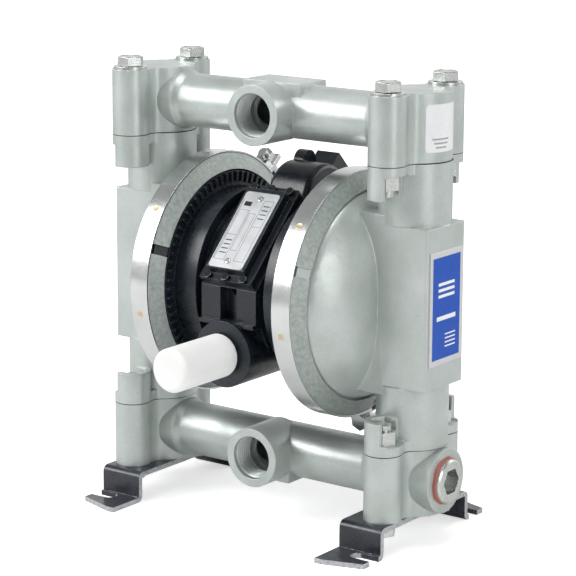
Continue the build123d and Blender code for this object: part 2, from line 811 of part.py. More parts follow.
with BuildPart() as air_cover:
    with BuildSketch(side_plane):
        with BuildLine():
            Polyline(
                (clamp_x - bead_half, 0),
                (clamp_x - bead_half, rim_radius),
                (clamp_x - flank_offset(rim_radius), rim_radius),
                (clamp_x - flank_offset(rim_foot_radius), rim_foot_radius),
                (drum_x, rim_foot_radius),
                (drum_x, drum_radius),
                (groove_x, drum_radius),
                (groove_x, groove_radius),
                (hub_face_x, groove_radius),
                (hub_face_x, 0),
                close=True,
            )
        make_face()
    revolve(axis=shaft_line)
    with BuildSketch(side_plane):
        with BuildLine():
            Polyline(
                (clamp_x - bead_half, 0),
                (clamp_x - bead_half, chamber_mouth),
                (air_slope_x, chamber_mouth - air_slope_drop),
                (air_chamber_x, air_chamber_radius),
                (air_chamber_x, 0),
                close=True,
            )
        make_face()
    revolve(axis=shaft_line, mode=Mode.SUBTRACT)
    # stiffening ribs around the back face
    with BuildSketch(across(drum_x)):
        with PolarLocations(0, rib_count):
            with Locations((rib_middle, 0)):
                Rectangle(rib_length, rib_width)
    extrude(amount=-rib_height)
    # shaft, bearing and seal
    with BuildSketch(across(hub_face_x)):
        Circle(shaft_radius + loose_gap)
        with Locations((pilot_y, pilot_z)):
            Circle(pin_bore)
    extrude(amount=air_chamber_x - hub_face_x, mode=Mode.SUBTRACT)
    with BuildSketch(across(bearing_x[0])):
        Circle(bearing_radius)
    extrude(amount=bearing_x[1] - bearing_x[0], mode=Mode.SUBTRACT)
    with BuildSketch(across(bearing_x[1])):
        Circle(seal_radius)
    extrude(amount=air_chamber_x - bearing_x[1], mode=Mode.SUBTRACT)
    # pocket for an actuator piston, and six screw holes
    with BuildSketch(across(hub_face_x)):
        with Locations((piston_y, piston_z)):
            Circle(piston_bore)
    extrude(amount=piston_pocket, mode=Mode.SUBTRACT)
    for angle in screw_angles:
        screw_spot = Vector(screw_circle, 0, 0).rotate(Axis.Z, angle)
        with BuildSketch(across(hub_face_x)):
            with Locations((screw_spot.X, screw_spot.Y)):
                Circle(screw_hole)
        extrude(amount=air_chamber_x - hub_face_x, mode=Mode.SUBTRACT)
        with BuildSketch(across(screw_seat_x)):
            with Locations((screw_spot.X, screw_spot.Y)):
                Circle(screw_head_radius + loose_gap)
        extrude(amount=air_chamber_x - screw_seat_x, mode=Mode.SUBTRACT)
save_pair(air_cover, "air_cover")

with BuildPart() as shaft_bearings:
    for end in (1, -1):
        with BuildSketch(across(end * bearing_x[0])):
            Circle(bearing_radius)
            Circle(seal_lip, mode=Mode.SUBTRACT)
        extrude(amount=bearing_x[1] - bearing_x[0], dir=(end, 0, 0))
save(shaft_bearings, "shaft_bearings")

with BuildPart() as shaft_seals:
    for end in (1, -1):
        with BuildSketch(across(end * bearing_x[1])):
            Circle(seal_radius)
            Circle(seal_lip, mode=Mode.SUBTRACT)
        extrude(amount=air_chamber_x - bearing_x[1], dir=(end, 0, 0))
save(shaft_seals, "shaft_seals")

with BuildPart() as air_cover_gaskets:
    for end in (1, -1):
        with BuildSketch(across(end * housing_x)):
            Circle(groove_radius - gasket_inset)
            Circle(gasket_hole, mode=Mode.SUBTRACT)
            with Locations((piston_y, piston_z)):
                Circle(piston_bore + gasket_inset, mode=Mode.SUBTRACT)
            with Locations((pilot_y, pilot_z)):
                Circle(pin_bore + gasket_inset, mode=Mode.SUBTRACT)
            with Locations((0, 0)):
                with PolarLocations(screw_circle, len(screw_angles), start_angle=screw_angles[0]):
                    Circle(screw_hole, mode=Mode.SUBTRACT)
        extrude(amount=gasket_thickness, dir=(end, 0, 0))
save(air_cover_gaskets, "air_cover_gaskets")

with BuildPart() as air_cover_screws:
    for end in (1, -1):
        with BuildSketch(across(end * screw_seat_x)):
            with PolarLocations(screw_circle, len(screw_angles), start_angle=screw_angles[0]):
                Circle(screw_head_radius)
        extrude(amount=screw_head_height, dir=(end, 0, 0))
        with BuildSketch(across(end * screw_seat_x)):
            with PolarLocations(screw_circle, len(screw_angles), start_angle=screw_angles[0]):
                Circle(screw_radius)
        extrude(amount=screw_seat_x - screw_end_x, dir=(-end, 0, 0))
save(air_cover_screws, "air_cover_screws")

# ---------------------------------------------------------------- centre housing
hood_y = 24.0               # round hump above and behind the shaft
hood_z = 47.0
hood_radius = 22.4
hood_half_width = 14.5
hood_edge = 3.0
lug_y = 33.0                # small cast lug on the hump
lug_z = 68.0
lug_radius = 7.0
lug_x = (-12.0, -5.0)
inlet_half_width = 8.2      # square air inlet boss, leaning back
inlet_low = 3.0
inlet_high = 19.0
inlet_face = 84.0
inlet_bore = 5.9            # 1/4 inch pipe thread
inlet_depth = 16.0
front_block_y = (chest_face + chest_half_length) / 2**0.5       # flush with the chest's lower edge
front_block_top = (chest_face - chest_half_length) / 2**0.5
front_block_bottom = -15.0
front_channel_half = 6.0
front_channel_depth = 7.0
ledge_y = 57.5
ledge_thickness = 2.5
cavity_half_width = 13.0
cavity_half_length = 22.0
cavity_floor = 16.0
housing_bore = 9.5
pilot_cavity_x = 12.0
pilot_cavity_y = 7.0
pilot_cavity_z = 6.0

airway_radius = 3.5
airway_height = 16.0
cover_half_length = 34.5
cover_corner = 1.5
cover_screw_x = 13.0        # between the six screws of the valve cover
cover_screw_t = 32.3
cover_screw_radius = 1.5
cover_screw_hole = 1.65
cover_screw_head = 2.5
cover_screw_head_height = 2.0
cover_screw_length = 13.0
cover_screw_depth = 9.0
raised_taper = 3.0
raised_edge = 1.0
nameplate_t = -1.6
rivet_t = 22.5
rivet_radius = 2.0
rivet_height = 1.0
rivet_edge = 0.8
valve_plate_half_width = 12.5
valve_plate_half_length = 16.0
valve_plate_thickness = 3.0
valve_port_spacing = 7.0
valve_port_length = 14.0
valve_port_width = 3.0
cup_half_width = 5.5
cup_half_length = 7.0
cup_height = 7.0
cup_corner = 1.0
carriage_half_width = 7.0
carriage_half_length = 10.0
carriage_top = 38.0
piston_end_x = 19.0
pilot_block_half_length = 7.0
pilot_block_width = 10.0
pilot_block_height = 8.0
pilot_stroke = 2.5          # pilot valve travel each way
pin_gap = 0.1               # between a pin and its plate at the end of a stroke
pin_end_x = hub_x - plate_thickness - stroke + pilot_stroke - pin_gap
pin_tip = 0.8
muffler_edge = 3.0
muffler_spigot = 16.0
muffler_thread_gap = 0.1
chest_normal = (0, -1, 1)

with BuildPart() as centre_housing:
    with BuildSketch(across(-housing_x)):
        Circle(housing_radius)
    extrude(amount=2 * housing_x)
    split(bisect_by=chest_plane.offset(chest_face), keep=Keep.BOTTOM)
    with BuildSketch(chest_plane):
        Rectangle(2 * chest_half_width, 2 * chest_half_length)
    extrude(amount=chest_face)
    with BuildPart(mode=Mode.PRIVATE) as hood:
        with BuildSketch(across(-hood_half_width)):
            with Locations((hood_y, hood_z)):
                Circle(hood_radius)
        extrude(amount=2 * hood_half_width)
        hood_rims = hood.edges().filter_by(GeomType.CIRCLE)
        fillet(hood_rims, hood_edge)
    add(hood.part)
    with BuildSketch(across(lug_x[0])):
        with Locations((lug_y, lug_z)):
            Circle(lug_radius)
    extrude(amount=lug_x[1] - lug_x[0])
    with BuildSketch(inlet_plane.offset(hood_radius)):
        with Locations((0, -(inlet_low + inlet_high) / 2)):
            Rectangle(2 * inlet_half_width, inlet_high - inlet_low)
    extrude(amount=inlet_face - hood_radius)
    with BuildSketch(front(0)):
        with Locations((0, (front_block_top + front_block_bottom) / 2)):
            Rectangle(2 * housing_x, front_block_top - front_block_bottom)
    extrude(amount=front_block_y)
    with BuildSketch(front(0)):
        with Locations((0, front_block_bottom - ledge_thickness / 2)):
            Rectangle(2 * housing_x, ledge_thickness)
    extrude(amount=ledge_y)
    with BuildSketch(front(0)):
        with Locations((0, muffler_z)):
            Circle(exhaust_boss_radius)
    extrude(amount=exhaust_boss_y)
    # upright channel in the front
    with BuildSketch(front(front_block_y)):
        with Locations((0, (front_block_top + front_block_bottom) / 2)):
            Rectangle(2 * front_channel_half, front_block_top - front_block_bottom)
    extrude(amount=-front_channel_depth, mode=Mode.SUBTRACT)
    # exhaust port and air inlet port
    with BuildSketch(front(exhaust_boss_y)):
        with Locations((0, muffler_z)):
            Circle(exhaust_bore)
    extrude(amount=-exhaust_depth, mode=Mode.SUBTRACT)
    with BuildSketch(inlet_plane.offset(inlet_face)):
        with Locations((0, -(inlet_low + inlet_high) / 2)):
            Circle(inlet_bore)
    extrude(amount=-inlet_depth, mode=Mode.SUBTRACT)
    with BuildSketch(inlet_plane.offset(cavity_half_length)):
        with Locations((0, -airway_height)):
            Circle(airway_radius)
    extrude(amount=inlet_face - inlet_depth - cavity_half_length + cut_margin, mode=Mode.SUBTRACT)
    # shaft passage, valve chamber and pilot chamber
    with BuildSketch(across(-housing_x)):
        Circle(housing_bore)
        with Locations((piston_y, piston_z)):
            Circle(piston_bore)
        with Locations((pilot_y, pilot_z)):
            Circle(pin_bore)
    extrude(amount=2 * housing_x, mode=Mode.SUBTRACT)
    with BuildSketch(chest_plane.offset(cavity_floor)):
        Rectangle(2 * cavity_half_width, 2 * cavity_half_length)
    extrude(amount=chest_face - cavity_floor, mode=Mode.SUBTRACT)
    with BuildSketch(across(-pilot_cavity_x)):
        with Locations((pilot_y, pilot_z)):
            Rectangle(2 * pilot_cavity_y, 2 * pilot_cavity_z)
    extrude(amount=2 * pilot_cavity_x, mode=Mode.SUBTRACT)
    # tapped holes for the air cover screws and the valve cover screws
    for end in (1, -1):
        with BuildSketch(across(end * housing_x)):
            with PolarLocations(screw_circle, len(screw_angles), start_angle=screw_angles[0]):
                Circle(screw_hole)
        extrude(amount=housing_x - screw_end_x, dir=(-end, 0, 0), mode=Mode.SUBTRACT)
    with BuildSketch(chest_plane.offset(chest_face)):
        with GridLocations(cover_screw_x, 2 * cover_screw_t, 3, 2):
            Circle(cover_screw_hole)
    extrude(amount=-cover_screw_depth, mode=Mode.SUBTRACT)
save(centre_housing, "centre_housing")

# ---------------------------------------------------------------- main air valve
cover_face = chest_face + gasket_thickness
cover_top = cover_face + cover_flange_thickness
raised_top = cover_top + raised_thickness

with BuildPart() as valve_cover_gasket:
    with BuildSketch(chest_plane.offset(chest_face)):
        Rectangle(2 * cover_half_width, 2 * cover_half_length)
        Rectangle(2 * cavity_half_width, 2 * cavity_half_length, mode=Mode.SUBTRACT)
        with GridLocations(cover_screw_x, 2 * cover_screw_t, 3, 2):
            Circle(cover_screw_hole, mode=Mode.SUBTRACT)
    extrude(amount=gasket_thickness)
save(valve_cover_gasket, "valve_cover_gasket")

with BuildPart() as valve_cover:
    with BuildSketch(chest_plane.offset(cover_face)):
        RectangleRounded(2 * cover_half_width, 2 * cover_half_length, cover_corner)
    extrude(amount=cover_flange_thickness)
    with BuildSketch(chest_plane.offset(cover_top)):
        RectangleRounded(2 * raised_half_width, 2 * raised_half_length, cover_corner)
    extrude(amount=raised_thickness, taper=raised_taper)
    fillet(valve_cover.faces().sort_by(Axis(axis_point, chest_normal))[-1].edges(), raised_edge)
    with BuildSketch(chest_plane.offset(cover_top)):
        with GridLocations(cover_screw_x, 2 * cover_screw_t, 3, 2):
            Circle(cover_screw_hole)
    extrude(amount=-cover_flange_thickness, mode=Mode.SUBTRACT)
save(valve_cover, "valve_cover")

with BuildPart() as valve_cover_screws:
    with BuildSketch(chest_plane.offset(cover_top)):
        with GridLocations(cover_screw_x, 2 * cover_screw_t, 3, 2):
            Circle(cover_screw_head)
    extrude(amount=cover_screw_head_height)
    with BuildSketch(chest_plane.offset(cover_top)):
        with GridLocations(cover_screw_x, 2 * cover_screw_t, 3, 2):
            Circle(cover_screw_radius)
    extrude(amount=-cover_screw_length)
save(valve_cover_screws, "valve_cover_screws")

with BuildPart() as nameplate:
    with BuildSketch(chest_plane.offset(raised_top)):
        with Locations((0, nameplate_t)):
            RectangleRounded(2 * nameplate_half_width, 2 * nameplate_half_length, nameplate_corner)
    extrude(amount=nameplate_thickness)
save(nameplate, "nameplate")

with BuildPart() as nameplate_rivets:
    with BuildSketch(chest_plane.offset(raised_top + nameplate_thickness)):
        with Locations((0, nameplate_t + rivet_t), (0, nameplate_t - rivet_t)):
            Circle(rivet_radius)
    extrude(amount=rivet_height)
    fillet(nameplate_rivets.faces().group_by(Axis(axis_point, chest_normal))[-1].edges(), rivet_edge)
save(nameplate_rivets, "nameplate_rivets")

with BuildPart() as valve_plate:
    with BuildSketch(chest_plane.offset(cavity_floor)):
        Rectangle(2 * valve_plate_half_width, 2 * valve_plate_half_length)
        with GridLocations(valve_port_spacing, 0, 3, 1):
            SlotOverall(valve_port_length, valve_port_width, rotation=90, mode=Mode.SUBTRACT)
    extrude(amount=valve_plate_thickness)
save(valve_plate, "valve_plate")

cup_floor = cavity_floor + valve_plate_thickness
with BuildPart() as valve_cup:
    with BuildSketch(chest_plane.offset(cup_floor)):
        Rectangle(2 * cup_half_width, 2 * cup_half_length)
    extrude(amount=cup_height)
    with BuildSketch(chest_plane.offset(cup_floor)):
        RectangleRounded(cup_half_width, cup_half_length, cup_corner)
    extrude(amount=cup_height / 2, mode=Mode.SUBTRACT)
save(valve_cup, "valve_cup")

with BuildPart() as valve_carriage:
    with BuildSketch(chest_plane.offset(cup_floor)):
        Rectangle(2 * carriage_half_width, 2 * carriage_half_length)
        Rectangle(2 * cup_half_width, 2 * cup_half_length, mode=Mode.SUBTRACT)
    extrude(amount=cup_height)
    with BuildSketch(chest_plane.offset(cup_floor + cup_height)):
        Rectangle(2 * carriage_half_width, 2 * carriage_half_length)
    extrude(amount=carriage_top - cup_floor - cup_height)
save(valve_carriage, "valve_carriage")

with BuildPart() as actuator_piston:
    with BuildSketch(across(carriage_half_width)):
        with Locations((piston_y, piston_z)):
            Circle(piston_radius)
    extrude(amount=piston_end_x - carriage_half_width)
save_pair(actuator_piston, "actuator_piston")

# ---------------------------------------------------------------- pilot valve
with BuildPart() as pilot_block:
    with BuildSketch(across(-pilot_block_half_length)):
        with Locations((pilot_y, pilot_z)):
            Rectangle(pilot_block_width, pilot_block_height)
    extrude(amount=2 * pilot_block_half_length)
save(pilot_block, "pilot_block")

with BuildPart() as pilot_pin:
    with BuildSketch(across(pilot_block_half_length)):
        with Locations((pilot_y, pilot_z)):
            Circle(pin_radius)
    extrude(amount=pin_end_x - pilot_block_half_length)
    chamfer(pilot_pin.edges().sort_by(Axis.X)[-1], pin_tip)
save_pair(pilot_pin, "pilot_pin")

# ---------------------------------------------------------------- muffler
muffler_far_y = exhaust_boss_y + muffler_stand_off
with BuildPart() as muffler:
    with BuildSketch(front(muffler_far_y)):
        with Locations((0, muffler_z)):
            Circle(muffler_radius)
    extrude(amount=muffler_near_y - muffler_far_y)
    fillet(muffler.edges().filter_by(GeomType.CIRCLE), muffler_edge)
    with BuildSketch(front(muffler_far_y)):
        with Locations((0, muffler_z)):
            Circle(exhaust_bore - muffler_thread_gap)
    extrude(amount=-muffler_stand_off - muffler_spigot)
save(muffler, "muffler")
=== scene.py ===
"""Looks of the air operated diaphragm pump: materials, threads, labels, light and camera."""
import json
import math

import bmesh
import bpy
from mathutils import Matrix, Vector


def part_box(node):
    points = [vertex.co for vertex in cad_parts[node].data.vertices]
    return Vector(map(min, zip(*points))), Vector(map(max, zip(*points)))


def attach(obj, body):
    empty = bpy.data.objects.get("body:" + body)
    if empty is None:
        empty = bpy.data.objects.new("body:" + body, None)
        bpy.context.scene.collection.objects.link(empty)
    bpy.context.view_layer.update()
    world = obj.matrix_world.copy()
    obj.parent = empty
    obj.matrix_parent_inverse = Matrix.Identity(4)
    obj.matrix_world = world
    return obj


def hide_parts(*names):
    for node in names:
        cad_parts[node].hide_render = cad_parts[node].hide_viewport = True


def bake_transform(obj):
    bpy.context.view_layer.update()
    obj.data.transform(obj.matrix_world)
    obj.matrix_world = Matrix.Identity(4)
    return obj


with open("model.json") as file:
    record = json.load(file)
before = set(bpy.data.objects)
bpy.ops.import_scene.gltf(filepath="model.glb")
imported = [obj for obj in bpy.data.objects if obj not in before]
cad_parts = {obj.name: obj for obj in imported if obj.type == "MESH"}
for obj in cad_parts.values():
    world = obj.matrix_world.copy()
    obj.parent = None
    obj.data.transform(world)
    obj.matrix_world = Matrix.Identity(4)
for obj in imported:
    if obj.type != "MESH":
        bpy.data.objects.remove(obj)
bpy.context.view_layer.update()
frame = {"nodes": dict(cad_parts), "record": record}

ROOT = "pump_frame"
MM = 0.001                  # in metres
# places on the pump, in millimetres
AXIS_Z = 143.0              # shaft above the floor
JOINT_Z = 84.25             # joints of covers and manifolds, above and below the shaft
TUBE_Z = 104.0              # manifold tubes, above and below the shaft
COLUMN_X = 94.0             # ball columns, either side of the middle
CLAMP_X = 52.0              # clamps and diaphragms, either side of the middle
STRAP_INSIDE, STRAP_RADIUS = 73.2, 74.2


# ---------------------------------------------------------------- material helpers
class Nodes:
    """Short names for building one node tree."""

    def __init__(self, tree, coordinates="Object"):
        self.tree = tree
        self.place = self.new("TexCoord").outputs[coordinates]

    def new(self, kind, **settings):
        node = self.tree.nodes.new("ShaderNode" + kind)
        for name, value in settings.items():
            setattr(node, name, value)
        return node

    def link(self, value, socket):
        if isinstance(value, bpy.types.NodeSocket):
            self.tree.links.new(value, socket)
        else:
            socket.default_value = value

    def feed(self, node, *values):
        """Give a node its first inputs and return its first output."""
        for socket, value in zip(node.inputs, values):
            self.link(value, socket)
        return node.outputs[0]

    def math(self, operation, a, b=0.0, c=0.0):
        return self.feed(self.new("Math", operation=operation), a, b, c)

    def dot(self, a, b):
        node = self.new("VectorMath", operation="DOT_PRODUCT")
        self.feed(node, a, b)
        return node.outputs["Value"]

    def reach(self, a, b):
        """Length of the vector (a, b)."""
        squares = self.math("MULTIPLY", a, a), self.math("MULTIPLY", b, b)
        return self.math("SQRT", self.math("ADD", *squares))

    def split(self, vector):
        node = self.new("SeparateXYZ")
        self.feed(node, vector)
        return node.outputs

    def join(self, x, y, z):
        return self.feed(self.new("CombineXYZ"), x, y, z)

    def above_axis(self):
        """X, Y, and Z from the shaft axis, in metres."""
        x, y, z = self.split(self.place)
        return x, y, self.math("SUBTRACT", z, AXIS_Z * MM)

    def noise(self, scale, detail=3.0, rough=0.55, vector=None):
        node = self.new("TexNoise")
        self.link(self.place if vector is None else vector, node.inputs["Vector"])
        node.inputs["Scale"].default_value = scale
        node.inputs["Detail"].default_value = detail
        node.inputs["Roughness"].default_value = rough
        return node.outputs["Fac"]

    def cells(self, scale):
        node = self.new("TexVoronoi")
        self.link(self.place, node.inputs["Vector"])
        node.inputs["Scale"].default_value = scale
        return node.outputs["Distance"]

    def range(self, value, low, high, to_low=0.0, to_high=1.0):
        return self.feed(self.new("MapRange"), value, low, high, to_low, to_high)

    def spread(self, noise, to_low=0.0, to_high=1.0):
        """The usual span of a noise, stretched over another."""
        return self.range(noise, 0.3, 0.7, to_low, to_high)

    def mix(self, factor, a, b):
        """Colour between a and b."""
        node = self.new("Mix", data_type="RGBA")
        self.link(factor, node.inputs[0])
        self.link((*a, 1) if isinstance(a, tuple) else a, node.inputs[6])
        self.link((*b, 1) if isinstance(b, tuple) else b, node.inputs[7])
        return node.outputs[2]

    def between(self, factor, a, b):
        """Number between a and b."""
        node = self.new("Mix")
        self.link(factor, node.inputs[0])
        self.link(a, node.inputs[2])
        self.link(b, node.inputs[3])
        return node.outputs[0]

    def bevel(self, radius):
        node = self.new("Bevel", samples=4)
        node.inputs["Radius"].default_value = radius
        return node.outputs[0]

    def bump(self, height, distance, normal=None, strength=1.0):
        node = self.new("Bump")
        self.link(strength, node.inputs["Strength"])
        node.inputs["Distance"].default_value = distance
        self.link(height, node.inputs["Height"])
        if normal is not None:
            self.link(normal, node.inputs["Normal"])
        return node.outputs[0]

    def facing(self):
        """True surface normal."""
        return self.new("NewGeometry").outputs["True Normal"]

    def edges(self, rounded):
        """1 along sharp edges and 0 on flats, from the rounded normal."""
        full_turn = 0.06
        return self.range(self.dot(rounded, self.facing()), 1.0 - full_turn, 1.0, 1.0, 0.0)

    def seen_directly(self):
        """1 for camera rays and for rays through glass."""
        path = self.new("LightPath")
        return self.math("MAXIMUM", path.outputs["Is Camera Ray"], path.outputs["Is Transmission Ray"])


class Finish(Nodes):
    """Node tree of one material."""

    def __init__(self, name):
        self.material = bpy.data.materials.new(name)
        self.material.use_nodes = True
        super().__init__(self.material.node_tree)
        self.shader = self.tree.nodes["Principled BSDF"]

    def set(self, **values):
        for name, value in values.items():
            if isinstance(value, tuple):
                value = (*value, 1)
            self.link(value, self.shader.inputs[name.replace("_", " ")])

    def around_shaft(self):
        """Distance from the shaft axis, and a vector whose lines run round the shaft."""
        x, y, z = self.above_axis()
        away = self.reach(y, z)
        round_by = self.math("MULTIPLY", self.math("ARCTAN2", y, z), 0.004)
        return away, self.join(x, away, round_by)


def shade(colour, share):
    return tuple(share * c for c in colour)


def cast_metal(name, light, dark, rough):
    """Fine blasted casting: soft blotches, grain, a few pits, rubbed edges, dark joints."""
    n = Finish(name)
    blotch = n.range(n.noise(scale=28, detail=4, rough=0.6), 0.35, 0.68)
    speck = n.spread(n.noise(scale=900, detail=2, rough=0.6))
    tone = n.mix(blotch, light, dark)
    tone = n.mix(n.math("MULTIPLY", speck, 0.22), tone, shade(dark, 0.72))
    rounded = n.bevel(radius=0.9 * MM)
    patchy = n.range(n.noise(scale=160), 0.35, 0.6, 0.1, 0.7)
    tone = n.mix(n.math("MULTIPLY", n.edges(rounded), patchy), tone, (0.70, 0.73, 0.72))
    from_axis = n.math("ABSOLUTE", n.above_axis()[2])
    from_joint = n.math("ABSOLUTE", n.math("SUBTRACT", from_axis, JOINT_Z * MM))
    gap = n.range(from_joint, 0.2 * MM, 0.32 * MM, 1.0, 0.0)
    tone = n.mix(gap, tone, (0.018, 0.022, 0.02))
    pit = n.range(n.cells(scale=70), 0.0, 0.035)
    tone = n.mix(pit, shade(dark, 0.35), tone)
    grain = n.math("ADD", n.math("MULTIPLY", n.noise(scale=1500, detail=2), 0.35), n.noise(scale=420))
    normal = n.bump(n.noise(scale=45, detail=2), 1.1 * MM, rounded, strength=0.35)
    normal = n.bump(grain, 0.12 * MM, normal, strength=0.8)
    normal = n.bump(pit, 0.3 * MM, normal, strength=0.8)
    n.set(Base_Color=tone, Metallic=0.5, Normal=normal)
    n.set(Roughness=n.spread(n.noise(scale=60, detail=4), rough - 0.06, rough + 0.08))
    return n.material


def moulded(name, colour, rough, grain_scale=1100, grain_depth=0.06, rub=0.25, blue=0.0):
    """Moulded plastic or rubber with a fine texture, and rubbed edges lighter in colour, partly as wear
    and partly as a painted sheen. Where blue is given, the lighter blotches carry a painted blue-grey
    sheen.
    """
    n = Finish(name)
    blotch = n.range(n.noise(scale=35), 0.35, 0.7)
    # The lighter blotch tone is random; where blue is given, its blue-grey tint is a painted sheen.
    added = [0.004 + blue * share for share in (0.4, 0.8, 1.0)]
    blotch_tone_and_blue_sheen = tuple(min(1.0, c * 1.9 + more) for c, more in zip(colour, added))
    tone = n.mix(n.math("MULTIPLY", blotch, 0.5), colour, blotch_tone_and_blue_sheen)
    rounded = n.bevel(radius=0.6 * MM)
    # Edges are lighter in colour where rubbed: partly wear, partly a painted sheen.
    edge_rub_and_sheen = n.math("MULTIPLY", n.edges(rounded), n.spread(n.noise(scale=220, detail=2), 0.0, rub))
    tone = n.mix(edge_rub_and_sheen, tone, tuple(min(1.0, c + 0.18) for c in colour))
    normal = n.bump(n.noise(scale=55, detail=2), 0.6 * MM, rounded, strength=0.3)
    normal = n.bump(n.noise(grain_scale, detail=2), grain_depth * MM, normal, strength=0.9)
    n.set(Base_Color=tone, Normal=normal, Metallic=0.0)
    n.set(Roughness=n.spread(n.noise(scale=70), rough - 0.07, rough + 0.07))
    return n.material


def worked_metal(name, colour, rough, turned=False, tint=(0.42, 0.42, 0.4)):
    """Rolled, turned or plated metal. Turned metal has lines that run round the shaft."""
    n = Finish(name)
    vector = n.around_shaft()[1] if turned else None
    lines = n.noise(scale=1400, detail=2, rough=0.6, vector=vector)
    soil = n.range(n.noise(scale=55, detail=4, rough=0.65), 0.45, 0.75, 0.0, 0.6)
    tone = n.mix(soil, colour, tint)
    rounded = n.bevel(radius=0.4 * MM)
    tone = n.mix(n.math("MULTIPLY", n.edges(rounded), 0.6), tone, (0.9, 0.9, 0.89))
    normal = n.bump(lines, 0.03 * MM, rounded, strength=0.7)
    normal = n.bump(n.noise(scale=90, detail=2), 0.4 * MM, normal, strength=0.15)
    n.set(Base_Color=tone, Metallic=1.0, Normal=normal)
    n.set(Roughness=n.spread(lines, rough - 0.05, rough + 0.09))
    return n.material


def clamp_metal(name):
    """Stainless clamp: bright brushed strap round the outside, matte grainy vee inside it."""
    n = Finish(name)
    away, vector = n.around_shaft()
    lines = n.noise(scale=1500, detail=2, rough=0.6, vector=vector)
    strap = n.range(away, STRAP_INSIDE * MM, (STRAP_INSIDE + 0.15) * MM)
    vee = n.mix(n.spread(n.noise(scale=420)), (0.30, 0.34, 0.32), (0.44, 0.48, 0.46))
    worn = n.range(n.noise(scale=40), 0.4, 0.7, 0.0, 0.5)
    bright = n.mix(worn, (0.66, 0.67, 0.67), (0.52, 0.53, 0.53))
    rounded = n.bevel(radius=0.4 * MM)
    rub = n.math("MULTIPLY", n.edges(rounded), 0.6)
    tone = n.mix(rub, n.mix(strap, vee, bright), (0.86, 0.86, 0.85))
    rough = n.math("SUBTRACT", n.spread(lines, 0.46, 0.54), n.math("MULTIPLY", strap, 0.27))
    depth = n.math("SUBTRACT", 0.8, n.math("MULTIPLY", strap, 0.7))
    grain = n.bump(n.noise(scale=900, detail=2), 0.08 * MM, rounded, strength=depth)
    n.set(Base_Color=tone, Metallic=n.range(strap, 0.0, 1.0, 0.6, 1.0), Roughness=rough)
    n.set(Normal=n.bump(lines, 0.03 * MM, grain, strength=0.6))
    return n.material


def painted_sheet(name):
    """Dark painted sheet steel whose cut edges show bare metal."""
    n = Finish(name)
    nx, _, nz = n.split(n.facing())
    _, y, _ = n.split(n.place)
    side = n.range(n.math("ABSOLUTE", nx), 0.2, 0.3)
    at_end = n.range(n.math("ABSOLUTE", y), 60 * MM, 61 * MM)
    upright = n.range(n.math("ABSOLUTE", nz), 0.3, 0.2)
    cut = n.math("MAXIMUM", side, n.math("MULTIPLY", at_end, upright))
    cut = n.math("MULTIPLY", cut, n.range(n.noise(scale=420), 0.25, 0.55, 0.55, 1.0))
    rounded = n.bevel(radius=0.5 * MM)
    rub = n.math("MULTIPLY", n.edges(rounded), n.range(n.noise(scale=300), 0.42, 0.6, 0.0, 0.8))
    bare = n.math("MAXIMUM", cut, rub)
    mottle = n.range(n.noise(scale=90, detail=4), 0.35, 0.7)
    paint = n.mix(mottle, (0.010, 0.012, 0.020), (0.022, 0.027, 0.042))
    n.set(Base_Color=n.mix(bare, paint, (0.52, 0.53, 0.55)), Metallic=n.math("MULTIPLY", bare, 0.6))
    n.set(Roughness=n.spread(n.noise(scale=200), 0.24, 0.4), Coat_Weight=0.3)
    n.set(Normal=n.bump(n.noise(scale=500, detail=2), 0.06 * MM, rounded, strength=0.8))
    return n.material


def rectangle(n, u, v, middle, half):
    """1 inside a rectangle of the (u, v) plane, in millimetres."""
    inside = []
    for value, centre, size in zip((u, v), middle, half):
        off = n.math("ABSOLUTE", n.math("SUBTRACT", value, centre * MM))
        inside.append(n.math("LESS_THAN", off, size * MM))
    return n.math("MULTIPLY", *inside)


def frame_of(n, u, v, middle, half, thin):
    """1 on the thin outline of such a rectangle."""
    inner = rectangle(n, u, v, middle, (half[0] - thin, half[1] - thin))
    return n.math("SUBTRACT", rectangle(n, u, v, middle, half), inner)


def union(n, masks):
    whole = masks[0]
    for mask in masks[1:]:
        whole = n.math("MAXIMUM", whole, mask)
    return whole


def side_plate(name):
    """Printed plate: a plain blue field in a bare metal frame, with plain white bars."""
    n = Finish(name)
    _, y, z = n.above_axis()
    field = rectangle(n, y, z, (0, 0), (14.5, 30))
    wide_bars = [(0, height, 8.5, 0.9) for height in (14, 10.5, 7)] + [(0, -6, 10, 1.3)]
    thin_bars = [(4.5, -16 - 2.4 * k, 5.5, 0.4) for k in range(4)]
    bars = union(n, [rectangle(n, y, z, (a, b), (c, d)) for a, b, c, d in wide_bars + thin_bars])
    ink = n.mix(n.spread(n.noise(scale=240, detail=2)), (0.0, 0.066, 0.42), (0.0, 0.08, 0.50))
    metal = n.mix(n.noise(scale=600, detail=2), (0.62, 0.62, 0.63), (0.75, 0.75, 0.76))
    tone = n.mix(field, metal, n.mix(bars, ink, (0.86, 0.88, 0.9)))
    n.set(Base_Color=tone, Metallic=n.math("MULTIPLY", n.math("SUBTRACT", 1.0, field), 0.8))
    n.set(Roughness=n.spread(n.noise(scale=90), 0.28, 0.4), Specular_IOR_Level=0.3)
    n.set(Normal=n.bump(n.noise(scale=260, detail=2), 0.04 * MM, n.bevel(0.3 * MM), strength=0.6))
    return n.material


